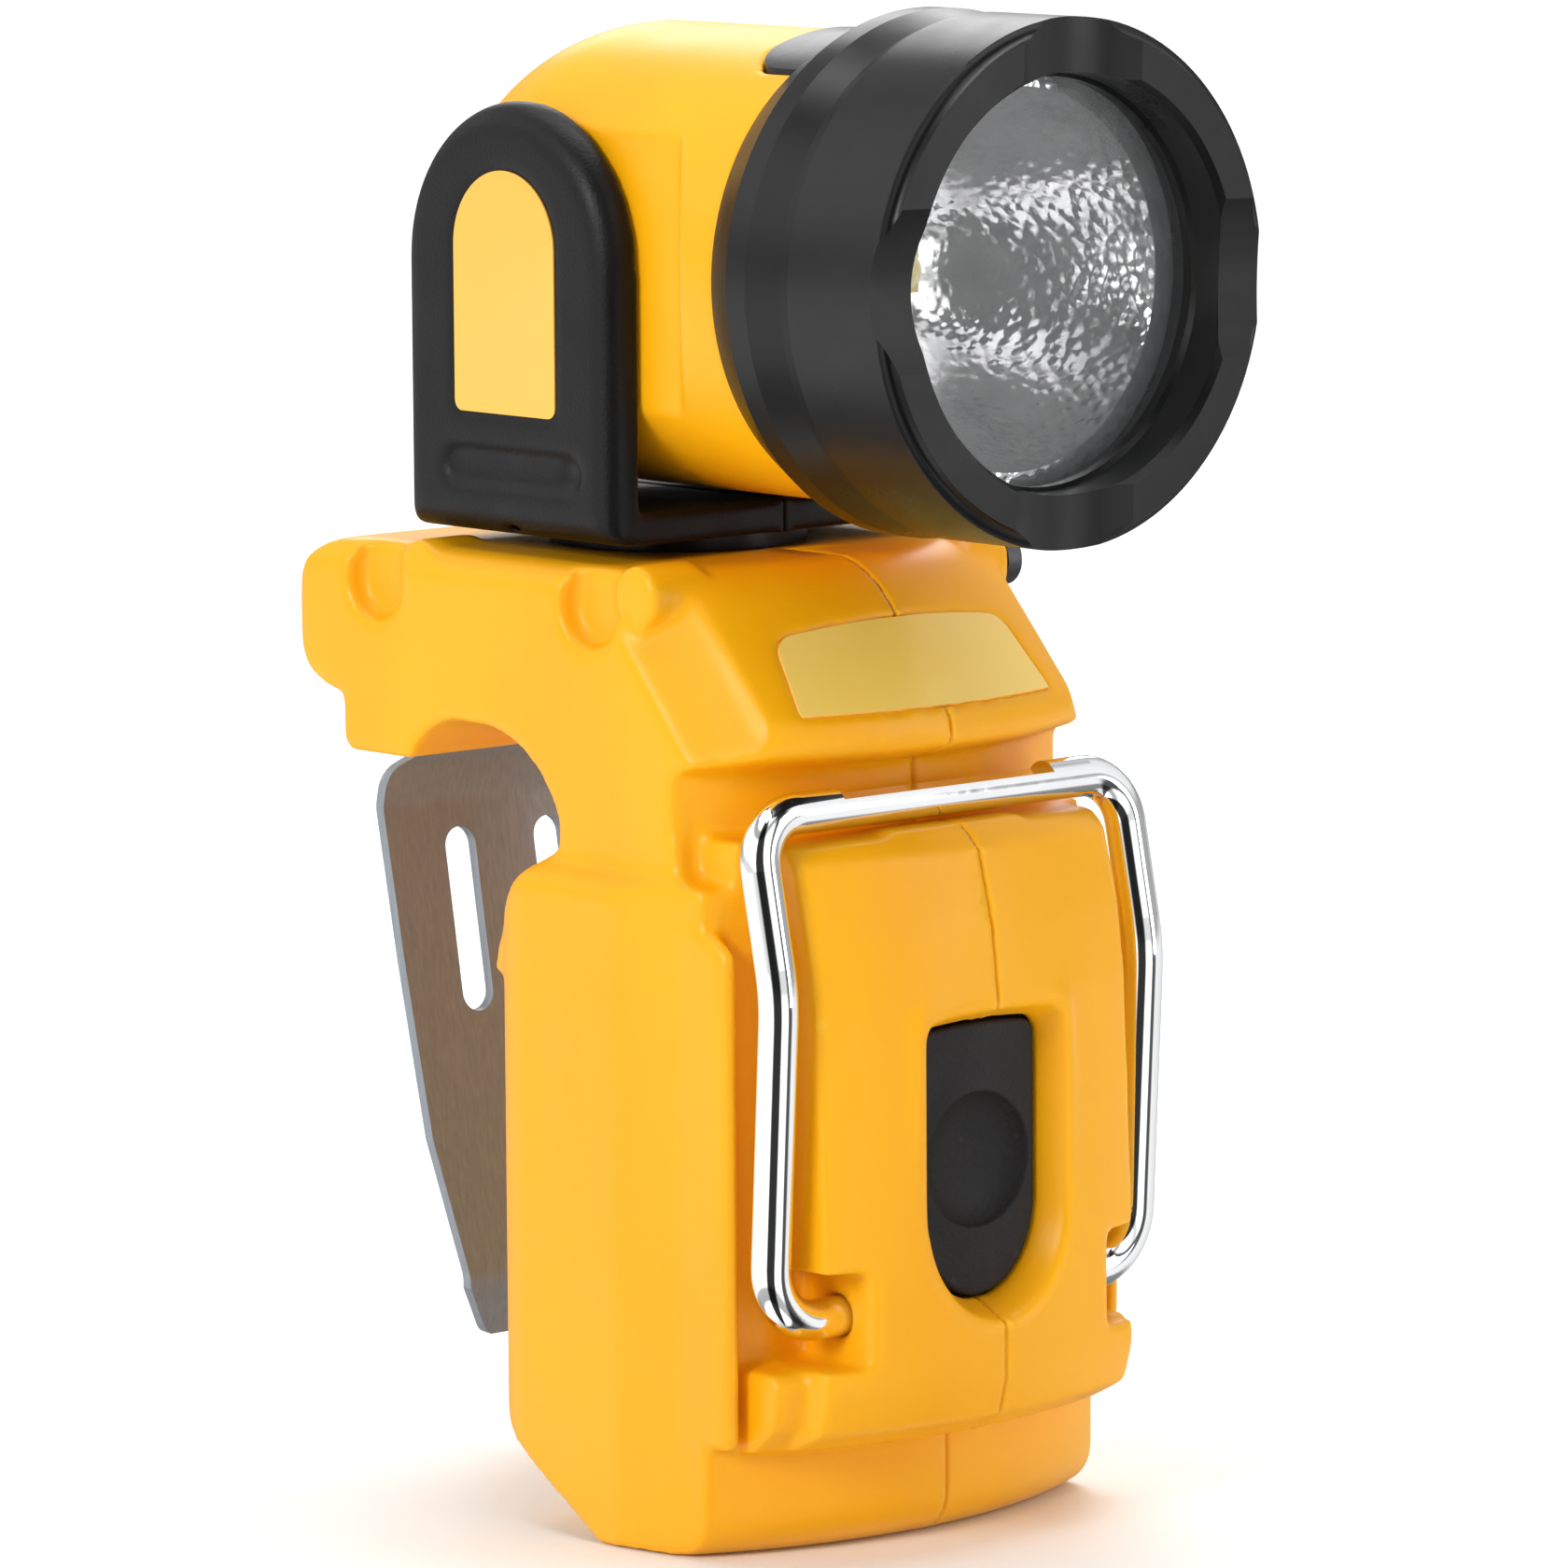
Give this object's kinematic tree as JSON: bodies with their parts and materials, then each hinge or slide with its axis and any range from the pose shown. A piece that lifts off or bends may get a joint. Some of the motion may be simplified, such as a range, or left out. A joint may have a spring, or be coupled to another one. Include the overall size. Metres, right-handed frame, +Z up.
{
  "type": "work light",
  "caption": "Handheld cordless work light: round spot head tilting in a swivelling yoke, rubber push switch, wire bail, belt clip and slide-in battery.",
  "frame": {"origin": "on the face the light stands on, on the middle plane, below the lens side of the body", "axes": "+X to the light's own left-to-right seen from the front camera, -Y to the front (lens and switch), +Z up"},
  "size_m": [0.061, 0.0975, 0.1649],
  "materials": {
    "yellow_shell": "amber yellow moulded nylon, satin gloss",
    "black_yoke": "fine-textured black nylon",
    "black_bezel": "smooth black nylon with soft sheen",
    "black_rubber": "matte moulded rubber",
    "name_foil": "glossy printed film",
    "label_foil": "satin printed film",
    "chrome_wire": "polished chrome plating",
    "clip_steel": "grey brushed spring steel",
    "screw_black": "black oxide steel",
    "screw_zinc": "zinc-plated steel",
    "brass_parts": "bare brass strip",
    "nickel_strip": "nickel strip",
    "circuit_board": "green solder mask",
    "ferrite": "dark grey moulded ferrite",
    "capacitor_can": "sleeved aluminium can",
    "natural_nylon": "dark grey nylon",
    "wire_insulation": "PVC insulation",
    "battery_plastic": "black ABS",
    "cell_jacket": null,
    "clear_lens": "clear polished polycarbonate",
    "mirror_coat": "vacuum-metallised, orange-peel texture",
    "led_ceramic": "phosphor under a clear dome",
    "heat_sink_metal": "die-cast aluminium",
    "slip_ring": "acetal",
    "seal_rubber": "silicone rubber"
  },
  "bodies": {
    "housing": {"body_left_shell": "yellow_shell", "body_right_shell": "yellow_shell", "body_screws": "screw_black", "name_plate": "name_foil", "belt_clip": "clip_steel", "clip_screws": "screw_black", "switch_housing": "natural_nylon", "switch_board": "circuit_board", "terminal_block": "natural_nylon", "terminal_blades": "brass_parts", "driver_board": "circuit_board", "driver_inductor": "ferrite", "driver_capacitors": "capacitor_can", "body_wires": "wire_insulation"},
    "bail": {"bail_wire": "chrome_wire"},
    "button": {"switch_button": "black_rubber", "switch_plunger": "natural_nylon"},
    "battery": {"battery_case": "battery_plastic", "battery_base": "yellow_shell", "battery_cell_1": "cell_jacket", "battery_cell_2": "cell_jacket", "battery_cell_3": "cell_jacket", "battery_straps": "nickel_strip", "battery_board": "circuit_board", "battery_contacts": "brass_parts", "battery_screws": "screw_zinc"},
    "latch": {"latch_button": "black_rubber"},
    "yoke": {"yoke_left_half": "black_yoke", "yoke_right_half": "black_yoke", "yoke_screws": "screw_black", "arm_label": "label_foil", "swivel_collar": "black_bezel", "swivel_washer": "slip_ring", "swivel_retainer": "screw_zinc", "yoke_wires": "wire_insulation"},
    "head": {"head_left_half": "yellow_shell", "head_right_half": "yellow_shell", "head_screws": "screw_black", "head_collar": "black_bezel", "bezel_ring": "black_bezel", "lens": "clear_lens", "lens_gasket": "seal_rubber", "reflector": "mirror_coat", "led_emitter": "led_ceramic", "led_board": "circuit_board", "heat_sink": "heat_sink_metal", "led_wires": "wire_insulation", "tilt_washers": "slip_ring"}
  },
  "joints": [
    {"name": "yoke_swivel", "type": "hinge", "parent": "housing", "child": "yoke", "pos_m": [0, 0.024, 0.105], "axis": [0, 0, 1], "range_deg": [-90, 90]},
    {"name": "head_tilt", "type": "hinge", "parent": "yoke", "child": "head", "pos_m": [0, 0.024, 0.1367], "axis": [-1, 0, 0], "range_deg": [0, 110]},
    {"name": "bail_swing", "type": "hinge", "parent": "housing", "child": "bail", "pos_m": [0, -0.02, 0.0265], "axis": [1, 0, 0], "range_deg": [0, 110]},
    {"name": "switch_press", "type": "slide", "parent": "housing", "child": "button", "axis": [0, 1, 0], "range_m": [0, 0.0015], "stiffness_N_per_m": 600, "springref_m": -0.003},
    {"name": "battery_slide", "type": "slide", "parent": "housing", "child": "battery", "axis": [0, 0, -1], "range_m": [0, 0.08]},
    {"name": "latch_press", "type": "slide", "parent": "battery", "child": "latch", "axis": [0, -0.5373, 0.8434], "range_m": [0, 0.001], "stiffness_N_per_m": 800, "springref_m": -0.002}
  ]
}
